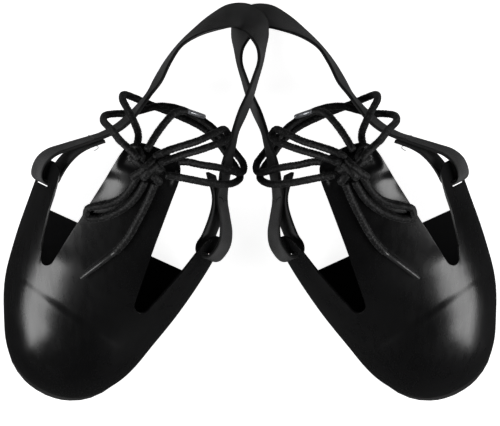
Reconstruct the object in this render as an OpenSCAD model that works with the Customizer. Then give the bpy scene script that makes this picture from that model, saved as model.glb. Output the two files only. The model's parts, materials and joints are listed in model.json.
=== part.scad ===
// A pair of slip-on toe and instep guards: a moulded rubber overshoe with a steel toe cap,
// a heel strap through slots in its two wings, and a round lace tied on its tongue.
// Each guard is drawn in its own frame, in millimetres: x across the foot (inner side positive),
// y from the toe tip to the heel, z up from the floor.

/* [Guard] */
// Length from the toe tip to the top edge of the tongue
guard_len = 181; // [150:1:220]
// Half width on the outer side of the foot
outer_w = 67; // [54:1:82]
// Half width on the inner side of the foot
inner_w = 67; // [54:1:82]
// Height of the tongue's top edge
tongue_h = 112.5; // [92:0.5:136]
// Thickness of the rubber shell
shell_t = 3; // [2:0.1:4]

/* [Sole] */
// Length of the sole from the toe tip to its straight rear edge
sole_len = 114; // [95:1:136]
// Thickness of the outsole
sole_t = 5; // [4:0.1:7]
// How far the toe rim stands out in front of the shell
toe_rim = 2.2; // [1.5:0.1:3]
// Thickness of the insole board
insole_t = 2.5; // [1.5:0.1:3.5]
// Depth of the tread grooves
tread_depth = 1.6; // [1:0.1:2]

/* [Toe cap] */
// Distance of the steel cap's rear edge from the toe tip
cap_len = 55; // [46:1:62]
// Thickness of the steel cap
cap_t = 1.8; // [1.2:0.1:2.5]
// Width of the soft edging strip behind the cap
edging_w = 4; // [3:0.5:6]

/* [Strap] */
// Width of the heel strap
strap_w = 20; // [16:0.5:24]
// Thickness of the heel strap
strap_t = 2.2; // [1.6:0.1:2.8]
// Distance of the wing slots from the wings' rear ends
slot_inset = 15; // [13:0.5:19]
// Room around the strap's thickness in each wing slot
slot_play = 1.8; // [1.4:0.1:2.6]

/* [Lace] */
// Diameter of the braided lace
lace_d = 5; // [3.6:0.1:5.4]
// Diameter of the lace ends' sleeves
aglet_d = 3.4; // [2.6:0.1:4]
// Diameter of the two eyelet holes in the tongue
eyelet_d = 6; // [5.4:0.1:7]

/* [Pair] */
// Distance of each toe tip from the middle of the pair
pair_x = 137; // [125:1:165]
// How far each toe points outward, in degrees
splay = 24.5; // [20:0.5:26]

/* [Hidden] */
clearance = 0.3;
pair_y = -128.77;

PARTS = ["outsole", "insole", "shell", "toe_cap", "cap_edging", "heel_strap",
         "outer_strap_leg", "inner_strap_leg", "outer_stitching", "inner_stitching",
         "lace_knot", "lace_ring_outer", "lace_ring_inner", "bow_loop_rear",
         "bow_loop_front", "lace_end_rear", "lace_end_front", "aglet_rear", "aglet_front"];

// ---- general functions ----
function unit(v) = v / norm(v);
function slope(t, i, k) =
    let (a = max(i - 1, 0), b = min(i + 1, len(t) - 1)) (t[b][k] - t[a][k]) / (t[b][0] - t[a][0]);
// Smooth value of column k of a table of rows that start with their station
function curve(t, x, k = 1) =
    let (i = min(len(t) - 2, max([0, for (j = [0:len(t) - 2]) if (x >= t[j][0]) j])),
         h = t[i + 1][0] - t[i][0], u = (x - t[i][0]) / h)
    t[i][k] * (2 * u ^ 3 - 3 * u ^ 2 + 1) + t[i + 1][k] * (3 * u ^ 2 - 2 * u ^ 3)
    + h * (slope(t, i, k) * (u ^ 3 - 2 * u ^ 2 + u) + slope(t, i + 1, k) * (u ^ 3 - u ^ 2));

// ---- the heel strap's route ----
// Points of the middle of the strap's width, drawn for the standard guard with slots at 130 and a strap of
// 20 by 2.2: [x, y, height when it lies under the other strap, height when over, lean]
STRAP = [[-17.2, 213, 36, 46, 0], [-17, 222, 31, 44.5, 6], [-16.5, 237, 22, 39, 11],
         [-14, 250, 15, 33.5, 8], [-7.8, 262.6, 10.8, 27, 18], [0.8, 274.6, 9.4, 21, 38],
         [8.2, 282.3, 7.7, 18, 54], [17.2, 285.3, 5.6, 15.8, 70], [25, 283.8, 6.4, 18.4, 64],
         [30.6, 278, 9.2, 25.3, 40], [35.4, 270.6, 11, 31, 16], [38.8, 262, 12, 35.5, 7],
         [40.5, 250, 14, 39, 8], [41.8, 238, 18, 42, 11], [41.3, 226, 27, 45, 6], [41.2, 213, 36, 46, 0]];
// Each leg runs from its folded-back end along the inside of the wing, through the slot, back over
// the wing's outside, along its own end where the two layers are stitched, and to the swing line,
// where it lies outside the strap's end. Its width leans towards the centre line as the wing does.
OUTER_LEG = [[-34.6, 171.2, 42, 44, 16], [-39.1, 167.2, 41.7, 43.5, 18], [-43.7, 162.7, 41.5, 43, 20],
             [-47.8, 157.3, 41.2, 42, 22], [-50.8, 151, 41, 41.3, 24], [-52.6, 144, 41, 41, 25],
             [-53.4, 138, 41, 41, 26], [-53.6, 134.3, 41, 41, 26], [-55.5, 130.8, 41, 41, 26],
             [-60.5, 130, 41, 41, 26], [-63.5, 131.5, 41, 41, 26], [-65.2, 136, 41, 41, 25],
             [-65, 143, 41, 41, 25], [-61.6, 150, 41, 41.4, 24], [-54.4, 157, 41.3, 42, 22],
             [-45.5, 165, 41.5, 43, 20], [-40.8, 169.3, 41.7, 43.5, 18], [-35.6, 174.2, 42, 44, 16],
             [-28.5, 183, 42, 45, 12], [-23.8, 193, 41, 46, 7], [-20.8, 203, 39, 46, 2],
             [-20.1, 213, 36, 46, 0], [-20.1, 219, 33, 46, 0]];
INNER_LEG = [[40, 180.5, 43, 45, 12], [43.6, 176, 42, 44, 15], [47.6, 171.8, 41, 43, 18],
             [51, 167.3, 40.2, 42, 20], [53.1, 162.3, 39.6, 41, 21], [54.5, 156, 39, 39.5, 22],
             [55.2, 149, 37.5, 37.5, 22], [55.4, 141, 37.5, 37.5, 22], [54.6, 134.6, 37.5, 37.5, 22],
             [56.7, 130.9, 37.5, 37.5, 22], [61.5, 130, 37.5, 37.5, 22], [64.6, 131.5, 37.5, 37.5, 22],
             [66.6, 136, 37.5, 37.5, 22], [67, 143, 37.5, 37.5, 22], [64.4, 151, 38, 38.5, 22],
             [58.8, 160, 39.3, 40.7, 21], [53.4, 168.5, 40.2, 42, 20], [50.5, 177, 42, 44, 15],
             [48, 186, 42, 45, 10], [46, 195, 41, 46, 6], [44.8, 204, 39, 46, 1],
             [44.1, 213, 36, 46, 0], [44.1, 219, 33, 46, 0]];
OUTER_SLOT_ROW = 9;
INNER_SLOT_ROW = 10;
OUTER_SEAM = [1, 16];
INNER_SEAM = [3, 16];

// ---- the shell's shape ----
// Cross-sections of the shell drawn for the standard guard, 181 long, 67 + 67 wide and 112.5 high:
// [station, outer half width, inner half width, crest height]
SECTIONS = [[0, 0, 0, 5], [0.6, 8, 7.5, 11], [2.4, 15.5, 14.5, 17], [6, 23.5, 22.5, 25],
            [12, 32, 30.5, 33.5], [20, 39, 37.5, 41], [31, 45.5, 44.5, 47.5], [43, 52, 49, 52],
            [55, 57, 52, 55], [66, 60, 55, 58.5], [76, 61.5, 57.8, 63], [94, 64, 61.7, 72],
            [114, 65.5, 65, 82.5], [132, 67, 67, 91.5], [150, 67, 67, 100.5],
            [166, 67, 67, 108], [176, 67, 67, 111.5], [181, 67, 67, 112.5]];
// Upper edge of each wing and both edges of the tongue, as distances from the centre line
WING_EDGE = [[76, 38, 38.8], [84, 38.5, 40.5], [94, 43, 44], [114, 47.2, 50], [134, 49.2, 54.4],
             [146, 50.3, 57.5]];
TONGUE_EDGE = [[76, 31.5, 30.6], [120, 24.5, 27], [169, 17.3, 24], [176, 14.5, 21.5], [181, 9, 16]];
NOTCH_Y = 79;
ARCH_POWER = 2.3;
k_len = guard_len / 181;
k_high = tongue_h / 112.5;
k_wide = [outer_w / 67, inner_w / 67];
notch_y = NOTCH_Y * k_len;
wing_end = 145 * k_len;
slot_y = wing_end - slot_inset;
slot_gap = strap_t + slot_play;
slot_front = slot_y - slot_gap / 2;
slot_rear = slot_y + slot_gap / 2;
SLOT_COLUMNS = [2, 4];
TONGUE_STEPS = 6;
WING_STEPS = 6;
COLUMNS = 2 * WING_STEPS + TONGUE_STEPS + 2;
TUCK = 3.5;

// side: 0 outer, 1 inner
function half_width(y, side) = curve(SECTIONS, (y - toe_rim) / k_len, 1 + side) * k_wide[side];
function crest(y) = sole_t - 5 + curve(SECTIONS, (y - toe_rim) / k_len, 3) * k_high;
// Behind the notches the wings follow a lower arch than the tongue
function wing_crest(y) =
    y <= notch_y ? crest(y) : crest(notch_y) + (y - notch_y) * 0.25 * k_high;
function arch_z(x, w, top) =
    sole_t + (top - sole_t) * max(0, 1 - (abs(x) / w) ^ ARCH_POWER) ^ (1 / ARCH_POWER);
function arch_x(z, w, top) =
    w * max(0, 1 - (max(0, z - sole_t) / (top - sole_t)) ^ ARCH_POWER) ^ (1 / ARCH_POWER);
// The side draws in towards the sole
function tuck(z, y, top) =
    TUCK * min(1, y / 40) * max(0, 1 - (z - sole_t) / (0.35 * (top - sole_t))) ^ 2;
function edge_x(table, y, side) =
    y >= notch_y
    ? curve(table, y / k_len, 1 + side) * k_wide[side]
    : half_width(y, side) * curve(table, NOTCH_Y, 1 + side) * k_wide[side]
        / half_width(notch_y, side);
// The wings' lower edge rises behind the sole, and their tips are rounded
function wing_low(y) = sole_t + (y <= sole_len ? 0 : 27 * ((y - sole_len) / (wing_end - sole_len)) ^ 0.9);
function wing_high(y, side) =
    arch_z(edge_x(WING_EDGE, y, side), half_width(y, side), wing_crest(y))
    - 3 * max(0, (y - slot_rear) / (wing_end - slot_rear)) ^ 2;

// Share of the wing's height at the slot's bottom (end -1) or top (end 1)
function slot_share(side, end) =
    let (row = side == 0 ? OUTER_LEG[OUTER_SLOT_ROW] : INNER_LEG[INNER_SLOT_ROW], low = wing_low(slot_y),
         half = strap_w / 2 * cos(strap_lean(row)) + slot_play)
    (strap_z(row, false) + end * half - low) / (wing_high(slot_y, side) - low);
// Shares of the wing's height at the columns of the shell's grid; the slot lies between the third and sixth
function wing_shares(side) =
    let (a = slot_share(side, -1), b = slot_share(side, 1))
    [0, a / 2, a, a + (b - a) / 3, b - (b - a) / 3, b, 1];
SHARES = [wing_shares(0), wing_shares(1)];

function wing_point(y, side, share) =
    let (low = wing_low(y), z = low + share * (wing_high(y, side) - low),
         x = arch_x(z, half_width(y, side), wing_crest(y)) - tuck(z, y, wing_crest(y)))
    [(side == 0 ? -1 : 1) * x, y, z];
function ramp(v, a, b) = let (t = max(0, min(1, (v - a) / (b - a)))) t * t * (3 - 2 * t);
// Along its middle the tongue is flatter than the arch
function tongue_z(x, y) =
    let (top = crest(y), z = arch_z(x, half_width(y, x < 0 ? 0 : 1), top), s = y / k_len)
    z + 0.55 * ramp(s, 85, 100) * (1 - ramp(s, 132, 150)) * (top - z);
function tongue_point(y, share) =
    let (a = -edge_x(TONGUE_EDGE, y, 0), b = edge_x(TONGUE_EDGE, y, 1), x = a + share * (b - a))
    [x, y, tongue_z(x, y)];
// Column j runs round the shell from the outer sole edge over the crest to the inner sole edge
function skin_point(y, j) =
    j <= WING_STEPS ? wing_point(y, 0, SHARES[0][j])
    : j >= COLUMNS - WING_STEPS ? wing_point(y, 1, SHARES[1][COLUMNS - j])
    : tongue_point(y, (j - WING_STEPS - 1) / TONGUE_STEPS);
function skin_normal(y, j) =
    let (d = 0.4, n = cross(skin_point(y + d, j) - skin_point(max(y - d, toe_rim + 0.1), j),
                            skin_point(y, min(j + 1, COLUMNS)) - skin_point(y, max(j - 1, 0))),
         foot = (j == 0 || j == COLUMNS) && y <= sole_len)
    unit([n[0], n[1], foot ? 0 : n[2]]);
function inset_point(y, j, depth) = skin_point(y, j) + skin_normal(y, j) * depth;

STATIONS = [0.5, 2.2, 6, 12, 20, 31, 43, 55, 66];
REAR_STATIONS = [85, 94, 104, 114, 122];
TIP_STATIONS = [138, 145];
TONGUE_STATIONS = [156, 166, 176, 181];
front = [for (s = STATIONS) toe_rim + s * (notch_y - toe_rim) / NOTCH_Y];
shell_stations = concat(front, [notch_y], [for (s = REAR_STATIONS) s * k_len],
                        [slot_front, slot_rear], [for (s = TIP_STATIONS) s * k_len],
                        [for (s = TONGUE_STATIONS) s * k_len]);

function is_gap(j) = j == WING_STEPS || j == COLUMNS - WING_STEPS - 1;
function is_tongue(j) = j > WING_STEPS && j < COLUMNS - WING_STEPS - 1;
function in_slot(j) =
    (j >= SLOT_COLUMNS[0] && j <= SLOT_COLUMNS[1])
    || (j <= COLUMNS - 1 - SLOT_COLUMNS[0] && j >= COLUMNS - 1 - SLOT_COLUMNS[1]);
// Which cells of the shell's grid hold rubber, by the cell's two stations
function shell_cell(y0, y1, j) =
    is_tongue(j) ? true
    : is_gap(j) ? y1 <= notch_y + 0.01
    : y1 <= wing_end + 0.01 && !(in_slot(j) && y0 >= slot_front - 0.01 && y1 <= slot_rear + 0.01);

// A closed skin between two depths under the shell's outer surface, over the given stations.
// With a nose it is closed round the toe.
module skin(stations, outer_depth, inner_depth, nose, whole) {
    n = len(stations);
    m = COLUMNS + 1;
    deep = n * m;
    nose_at = 2 * deep;
    pts = concat([for (y = stations) for (j = [0:COLUMNS]) inset_point(y, j, outer_depth)],
                 [for (y = stations) for (j = [0:COLUMNS]) inset_point(y, j, inner_depth)],
                 [[0, toe_rim + outer_depth, sole_t], [0, toe_rim + inner_depth, sole_t]]);
    function cell(i, j) =
        i >= 0 && i < n - 1 && j >= 0 && j < COLUMNS
        && (whole || shell_cell(stations[i], stations[i + 1], j));
    function quad(a, b, c, d) = [[a, b, c], [a, c, d]];
    function at(i, j) = i * m + j;
    sheets = [for (i = [0:n - 2]) for (j = [0:COLUMNS - 1]) if (cell(i, j))
        each concat(quad(at(i, j), at(i + 1, j), at(i + 1, j + 1), at(i, j + 1)),
                    quad(deep + at(i, j), deep + at(i, j + 1), deep + at(i + 1, j + 1), deep + at(i + 1, j)))];
    side_rims = [for (i = [0:n - 2]) for (j = [0:COLUMNS]) if (cell(i, j) != cell(i, j - 1))
        each (cell(i, j) ? quad(at(i, j), deep + at(i, j), deep + at(i + 1, j), at(i + 1, j))
                         : quad(at(i, j), at(i + 1, j), deep + at(i + 1, j), deep + at(i, j)))];
    cross_rims = [for (i = [(nose ? 1 : 0):n - 1]) for (j = [0:COLUMNS - 1]) if (cell(i, j) != cell(i - 1, j))
        each (cell(i, j) ? quad(at(i, j), at(i, j + 1), deep + at(i, j + 1), deep + at(i, j))
                         : quad(at(i, j), deep + at(i, j), deep + at(i, j + 1), at(i, j + 1)))];
    nose_faces = !nose ? [] : concat(
        [for (j = [0:COLUMNS - 1]) each [[nose_at, at(0, j), at(0, j + 1)],
                                         [nose_at + 1, deep + at(0, j + 1), deep + at(0, j)]]],
        [[nose_at, nose_at + 1, deep], [nose_at, deep, 0]],
        [[nose_at, COLUMNS, deep + COLUMNS], [nose_at, deep + COLUMNS, nose_at + 1]]);
    polyhedron(pts, concat(sheets, side_rims, cross_rims, nose_faces), convexity = 8);
}

// ---- flat outlines of the sole ----
OUTLINE_STATIONS = [0.5, 1.4, 3, 6, 10, 16, 24, 34, 46, 55, 66, 76, 88, 100];
function base_point(y, side, grow) =
    let (j = side == 0 ? 0 : COLUMNS, p = inset_point(y, j, -grow)) [p[0], p[1]];
// Outline of the shell's foot from the toe to a straight rear edge, moved outward by grow
module foot_outline(rear, grow, grow_toe) {
    ys = concat([for (s = OUTLINE_STATIONS) toe_rim + s * (sole_len - toe_rim) / 112], [sole_len]);
    function more(y) = grow + (grow_toe - grow) * max(0, 1 - y / 30) ^ 0.5;
    function row(side) = [for (y = ys) let (p = base_point(y, side, more(y))) if (p[1] < rear - 1) p];
    outer = row(0);
    inner = row(1);
    last = len(outer) - 1;
    polygon(concat([[0, toe_rim - grow_toe]], inner, [[inner[len(inner) - 1][0] + 0.2, rear]],
                   [[outer[last][0] - 0.2, rear]], [for (i = [last:-1:0]) outer[i]]));
}

module outsole() color([0.07, 0.07, 0.075]) difference() {
    linear_extrude(sole_t) foot_outline(sole_len, 0.6, toe_rim);
    for (y = [16:12:sole_len - 6])
        translate([-outer_w - 10, y, -1]) cube([outer_w + inner_w + 20, 3, 1 + tread_depth]);
    translate([-1.5, 10, -1]) cube([3, sole_len, 1 + tread_depth]);
}
cap_rear = cap_len * k_len;
module insole() color([0.12, 0.12, 0.13]) translate([0, 0, sole_t]) linear_extrude(insole_t)
    intersection() {
        foot_outline(sole_len, -shell_t - clearance, -shell_t - clearance);
        union() {
            foot_outline(cap_rear, -shell_t - cap_t - 3 * clearance, -shell_t - cap_t - 3 * clearance);
            translate([-100, cap_rear + edging_w + 1]) square([200, sole_len]);
            translate([-inner_w / 2, cap_rear - 10]) square([inner_w, 30]);
        }
    }

module shell() color([0.05, 0.05, 0.055]) difference() {
    skin(shell_stations, 0, shell_t, true, false);
    for (e = EYELETS) translate([e[0], e[1] * k_len, tongue_h - 25]) cylinder(d = eyelet_d, h = 40, $fn = 24);
}

cap_depth = shell_t + clearance;
module toe_cap() color([0.62, 0.63, 0.65])
    skin([for (y = front) if (y <= cap_rear + 0.5) y], cap_depth, cap_depth + cap_t, true, true);
module cap_edging() color([0.15, 0.15, 0.16]) {
    start = max([for (y = front) if (y <= cap_rear + 0.5) y]) + clearance;
    skin([start, start + edging_w / 2, start + edging_w], cap_depth, cap_depth + cap_t, false, true);
}

// ---- heel strap ----
// The strap's height follows the wings', clears the floor, and clears the other strap
function strap_z(row, over) =
    max(sole_t + (row[2] - 5) * k_high, strap_w / 2 * cos(row[4]) + strap_t / 2 * sin(row[4]) + clearance)
    + (over ? (row[3] - row[2]) * strap_w / 20 : 0);
// Near the wings the strap leans as much as they do
function strap_lean(row) =
    row[1] > 205 ? row[4] : atan(tan(row[4]) * k_wide[row[0] < 0 ? 0 : 1] / k_high);
// Before the slot row the strap lies inside the wing, and behind it outside the wing and its own folded-back
// end. Its distance from them isn't scaled: each row has the drawn distance and the one for these sizes.
// Inside the wing it also allows for the wing's curve across the strap's width.
function strap_stand(i, y, slot_row) =
    let (inside = max(0, min(1, (165 - y) / 20)), curve_room = 1.8 * (strap_w / 20 / k_high) ^ 2)
    i < slot_row ? [-6.4, -(shell_t + strap_t / 2 + 0.5 + curve_room)] * inside
    : i > slot_row ? [2.9, strap_t + 0.7] : [0, 0];
function strap_middle(rows, over, slot_row) =
    [for (i = [0:len(rows) - 1])
        let (row = rows[i], side = row[0] < 0 ? 0 : 1, stand = strap_stand(i, row[1], slot_row))
        [(side == 0 ? -1 : 1) * ((abs(row[0]) - stand[0]) * k_wide[side] + stand[1]),
         row[1] + slot_y - 130, strap_z(row, over)]];
function tangent(p, i) = unit(p[min(i + 1, len(p) - 1)] - p[max(i - 1, 0)]);
// Direction of the strap's width at point i: it leans to the loop's inside, or by x_sign along x
function strap_across(mid, i, lean, x_sign) =
    let (t = tangent(mid, i),
         inside = x_sign == 0 ? unit(cross(t, [0, 0, 1])) : [x_sign, 0, 0])
    unit(inside * sin(lean) + [0, 0, 1] * cos(lean));
module band(rows, over, slot_row, x_sign) {
    mid = strap_middle(rows, over, slot_row);
    function ring(i) =
        let (w = strap_across(mid, i, strap_lean(rows[i]), x_sign), d = unit(cross(tangent(mid, i), w)))
        [for (c = [[-1, -1], [1, -1], [1, 1], [-1, 1]])
            mid[i] + w * c[0] * strap_w / 2 + d * c[1] * strap_t / 2];
    tube_of([for (i = [0:len(mid) - 1]) ring(i)]);
}
// A solid through a list of rings that have as many points each
module tube_of(rings) {
    n = len(rings);
    m = len(rings[0]);
    function at(i, j) = i * m + j % m;
    polyhedron([for (r = rings) each r], concat(
        [[for (j = [0:m - 1]) j], [for (j = [m - 1:-1:0]) at(n - 1, j)]],
        [for (i = [0:n - 2]) for (j = [0:m - 1])
            each [[at(i, j), at(i + 1, j + 1), at(i, j + 1)], [at(i, j), at(i + 1, j), at(i + 1, j + 1)]]]),
        convexity = 6);
}
// The strap flexes behind the lace, where its two round ends lie
module heel_strap(over) color([0.16, 0.16, 0.17]) {
    last = len(STRAP) - 1;
    mid = strap_middle(STRAP, over, last);
    band(STRAP, over, last, 0);
    for (p = [mid[0], mid[last]])
        translate([p[0], p[1] - 1, p[2]]) rotate([0, 90, 0])
            cylinder(d = strap_w, h = strap_t, center = true, $fn = 48);
}
module outer_strap_leg(over) color([0.16, 0.16, 0.17]) band(OUTER_LEG, over, OUTER_SLOT_ROW, 1);
module inner_strap_leg(over) color([0.16, 0.16, 0.17]) band(INNER_LEG, over, INNER_SLOT_ROW, -1);

STITCHES = 5;
stitch_pitch = strap_w / (STITCHES + 1);
// A row of thread stitches through the strap's two layers, whose seam is at points seam[0] and seam[1]
module stitching(rows, over, slot_row, seam, x_sign) color([0.1, 0.1, 0.1]) {
    mid = strap_middle(rows, over, slot_row);
    w = strap_across(mid, seam[1], strap_lean(rows[seam[1]]), x_sign);
    d = unit(cross(tangent(mid, seam[1]), w));
    for (k = [0:STITCHES - 1])
        translate((mid[seam[0]] + mid[seam[1]]) / 2 + w * (k - (STITCHES - 1) / 2) * stitch_pitch)
            rotate([0, acos(d[2]), atan2(d[1], d[0])])
                cylinder(d = 0.9, h = 2 * strap_t + 1.6, center = true, $fn = 16);
}
module outer_stitching(over) stitching(OUTER_LEG, over, OUTER_SLOT_ROW, OUTER_SEAM, 1);
module inner_stitching(over) stitching(INNER_LEG, over, INNER_SLOT_ROW, INNER_SEAM, -1);

// ---- lace ----
EYELETS = [[-9, 169], [11, 169]];
lace_r = lace_d / 2;
lift = lace_r + 0.2;
function on_tongue(x, y, more = 0) = [x, y, tongue_z(x, y) + lift * 1.12 + more];
// Each half of the lace leaves the knot through an eyelet, goes behind the tongue, round one strap leg,
// across to the other leg, round it and back over the tongue to the knot
RING_OUTER = [[-8.8, 168.6, 111.5], [-9.2, 169.5, 103], [-10, 175, 100], [-12, 183, 96], [-19, 190.5, 82],
              [-27, 196.5, 67], [-33, 201, 54], [-34, 204.5, 40], [-28, 205.5, 27], [-14, 206, 22],
              [5, 207, 21], [24, 206, 20], [37, 201, 20], [47, 195, 23], [55, 190, 32],
              [58.5, 185.5, 46], [54, 179.5, 60], [43, 175, 76], [32, 172, 98], [24, 170, 109.5],
              [14.5, 167.5, 113.5]];
RING_INNER = [[10.5, 168, 113], [11, 169.5, 102], [13.5, 175, 97], [22, 180.5, 92], [32, 183, 86],
              [44, 186.5, 71], [55, 188.5, 57], [58.5, 191, 46], [56, 196, 34], [48, 200.5, 26],
              [38, 205, 24.5], [24, 210, 24], [5, 211.5, 24], [-10, 207.5, 27], [-18, 201.5, 27],
              [-26, 195, 24], [-34, 191, 27], [-39.5, 187, 38], [-38.5, 183, 54], [-29.5, 179.5, 80],
              [-22, 175.8, 102], [-18.8, 174.8, 110], [-13.8, 173.2, 114.2], [-8.8, 171.4, 116.6],
              [-4.6, 169.6, 117]];
BOW_REAR = [[8, 172, 116.5], [12, 176.5, 117.5], [18.5, 183, 114], [27.5, 191, 104], [35.5, 199, 92],
            [39.4, 203.4, 85], [40.4, 207.6, 80.8], [36.6, 210.2, 80.2], [32, 205.6, 88],
            [24.2, 196, 102.6], [15, 187.4, 113.2], [8, 180.6, 117.3], [3.2, 174.6, 116.2]];
BOW_FRONT = [on_tongue(-1.4, 160), on_tongue(-2.4, 151), on_tongue(-5.2, 142.5), on_tongue(-11, 135.2),
             on_tongue(-18, 130.6), on_tongue(-22.6, 126.6), on_tongue(-20.8, 121.8), on_tongue(-15, 123.2),
             on_tongue(-7.5, 129), on_tongue(-0.5, 138), on_tongue(3.2, 147), on_tongue(4.8, 159)];
END_REAR = [[-2.6, 176.5, 116.6], [-1.8, 186, 113], [0, 197, 104], [3.5, 207, 94], [9.5, 211, 87]];
END_FRONT = [on_tongue(10.8, 160), on_tongue(11, 148), on_tongue(10.2, 133), on_tongue(8.5, 119),
             on_tongue(5, 108)];
AGLET_REAR = [[9.5, 211, 87], [21.5, 212.5, 77]];
AGLET_FRONT = [on_tongue(5, 108, 0.6), on_tongue(-8.7, 83, 0.6)];
KNOT = [2, 167.5, 112.6];

LACE_SIDES = 8;
function ring_frames(p) =
    let (t0 = tangent(p, 0), u0 = unit(cross(t0, abs(t0[2]) < 0.8 ? [0, 0, 1] : [1, 0, 0])))
    [for (i = 0, u = u0; i < len(p); i = i + 1, t = tangent(p, min(i, len(p) - 1)), u = unit(u - t * (u * t)))
        u];
module lace(p, r = lace_r) color([0.09, 0.09, 0.095]) {
    us = ring_frames(p);
    step = 360 / LACE_SIDES;
    tube_of([for (i = [0:len(p) - 1])
        let (t = tangent(p, i), u = unit(us[i] - t * (us[i] * t)), v = cross(t, u))
        [for (k = [0:LACE_SIDES - 1]) p[i] + r * (u * cos(k * step) + v * sin(k * step))]]);
}
module lace_ring_outer() lace(RING_OUTER);
module lace_ring_inner() lace(RING_INNER);
module bow_loop_rear() lace(BOW_REAR);
module bow_loop_front() lace(BOW_FRONT);
module lace_end_rear() lace(END_REAR);
module lace_end_front() lace(END_FRONT);
// A sleeve that grips the lace's end
module aglet(p) {
    run = p[1] - p[0];
    translate(p[0]) rotate([0, acos(run[2] / norm(run)), atan2(run[1], run[0])])
        cylinder(d = aglet_d, h = norm(run), $fn = 32);
}
module aglet_rear() color([0.55, 0.55, 0.57]) aglet(AGLET_REAR);
module aglet_front() color([0.08, 0.08, 0.08]) aglet(AGLET_FRONT);
// The bow's knot, a round cushion that rests on the tongue
knot_r = 10;
knot_h = 9;
module lace_knot() color([0.09, 0.09, 0.095])
    translate(KNOT) rotate([22, 0, 0]) translate([0, 0, -knot_h / 2 + 2.6]) rotate_extrude($fn = 48) union() {
        square([knot_r - knot_h / 2, knot_h]);
        translate([knot_r - knot_h / 2, knot_h / 2]) intersection() {
            circle(d = knot_h, $fn = 48);
            translate([0, -knot_h]) square(2 * knot_h);
        }
    }

// ---- the pair ----
module placed(side)
    mirror([side == "left" ? 0 : 1, 0, 0])
        translate([-pair_x, pair_y, 0]) rotate([0, 0, -splay]) children();

for (side = ["left", "right"]) {
    over = side == "left";
    placed(side) outsole();
    placed(side) insole();
    placed(side) shell();
    placed(side) toe_cap();
    placed(side) cap_edging();
    placed(side) heel_strap(over);
    placed(side) outer_strap_leg(over);
    placed(side) inner_strap_leg(over);
    placed(side) outer_stitching(over);
    placed(side) inner_stitching(over);
    placed(side) lace_knot();
    placed(side) lace_ring_outer();
    placed(side) lace_ring_inner();
    placed(side) bow_loop_rear();
    placed(side) bow_loop_front();
    placed(side) lace_end_rear();
    placed(side) lace_end_front();
    placed(side) aglet_rear();
    placed(side) aglet_front();
}
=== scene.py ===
"""Looks for a pair of moulded rubber toe guards. Shapes are drawn in each guard's own frame in
millimetres (x across the foot, inner side positive; y from the toe tip to the heel; z up) and placed
in the row frame in metres."""
import json
import math

import bmesh
import bpy
import numpy as np
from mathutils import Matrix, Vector


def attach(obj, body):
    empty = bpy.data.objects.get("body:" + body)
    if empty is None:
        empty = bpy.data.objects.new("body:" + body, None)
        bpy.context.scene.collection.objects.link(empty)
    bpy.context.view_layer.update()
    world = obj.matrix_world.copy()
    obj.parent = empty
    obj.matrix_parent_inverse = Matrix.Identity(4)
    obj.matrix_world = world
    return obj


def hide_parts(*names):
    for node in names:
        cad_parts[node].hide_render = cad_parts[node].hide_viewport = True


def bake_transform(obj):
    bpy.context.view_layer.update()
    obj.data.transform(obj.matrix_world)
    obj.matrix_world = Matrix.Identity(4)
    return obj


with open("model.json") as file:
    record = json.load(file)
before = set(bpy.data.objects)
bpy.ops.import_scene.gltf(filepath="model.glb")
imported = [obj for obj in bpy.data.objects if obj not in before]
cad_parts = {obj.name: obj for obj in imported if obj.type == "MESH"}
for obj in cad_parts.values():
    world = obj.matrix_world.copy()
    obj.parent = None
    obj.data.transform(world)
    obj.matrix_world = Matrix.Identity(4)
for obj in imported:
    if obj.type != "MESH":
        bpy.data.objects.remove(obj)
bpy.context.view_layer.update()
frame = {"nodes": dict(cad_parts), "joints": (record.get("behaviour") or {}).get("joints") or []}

MM = 0.001
SIDES = ("left", "right")
JOINTS = {j["name"]: j for j in frame["joints"]}
SWING_Y = 212

# ---- where each guard stands: worked out from its strap hinge ----
LEFT_HINGE = JOINTS["left_strap_swing"]
ACROSS = np.array(LEFT_HINGE["axis"], float)
REARWARD = np.array([-ACROSS[1], ACROSS[0], 0])
TIP = np.array([LEFT_HINGE["pos_m"][0], LEFT_HINGE["pos_m"][1], 0]) - REARWARD * SWING_Y * MM


def place(points, side):
    """Guard-frame millimetres to row-frame metres."""
    p = np.asarray(points, float)
    q = TIP + MM * (p[..., :1] * ACROSS + p[..., 1:2] * REARWARD + p[..., 2:] * np.array([0, 0, 1.0]))
    return q * (np.array([-1.0, 1, 1]) if side == "right" else 1)


# ---- the shell's shape, from the same few sections as the CAD part ----
SECTIONS = np.array([[0, 0, 0, 5], [0.6, 8, 7.5, 11], [2.4, 15.5, 14.5, 17], [6, 23.5, 22.5, 25],
                     [12, 32, 30.5, 33.5], [20, 39, 37.5, 41], [31, 45.5, 44.5, 47.5], [43, 52, 49, 52],
                     [55, 57, 52, 55], [66, 60, 55, 58.5], [76, 61.5, 57.8, 63], [94, 64, 61.7, 72],
                     [114, 65.5, 65, 82.5], [132, 67, 67, 91.5], [150, 67, 67, 100.5],
                     [166, 67, 67, 108], [176, 67, 67, 111.5], [181, 67, 67, 112.5]])
WING_EDGE = np.array([[76, 38, 38.8], [84, 38.5, 40.5], [94, 43, 44], [114, 47.2, 50], [134, 49.2, 54.4],
                      [146, 50.3, 57.5]])
TONGUE_EDGE = np.array([[76, 31.5, 30.6], [120, 24.5, 27], [169, 17.3, 24], [176, 14.5, 21.5], [181, 9, 16]])
TOE_RIM = 2.2
SOLE_T = 5
SOLE_LEN = 114
NOTCH_Y = 79
WING_END = 145
TONGUE_END = 181
ARCH_POWER = 2.3
TUCK = 3.5
SHELL_T = 3
SLOT_Y = 130


def ramp(v, a, b):
    """0 before a, 1 after b, smooth between."""
    t = np.clip((v - a) / (b - a), 0, 1)
    return t * t * (3 - 2 * t)


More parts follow.
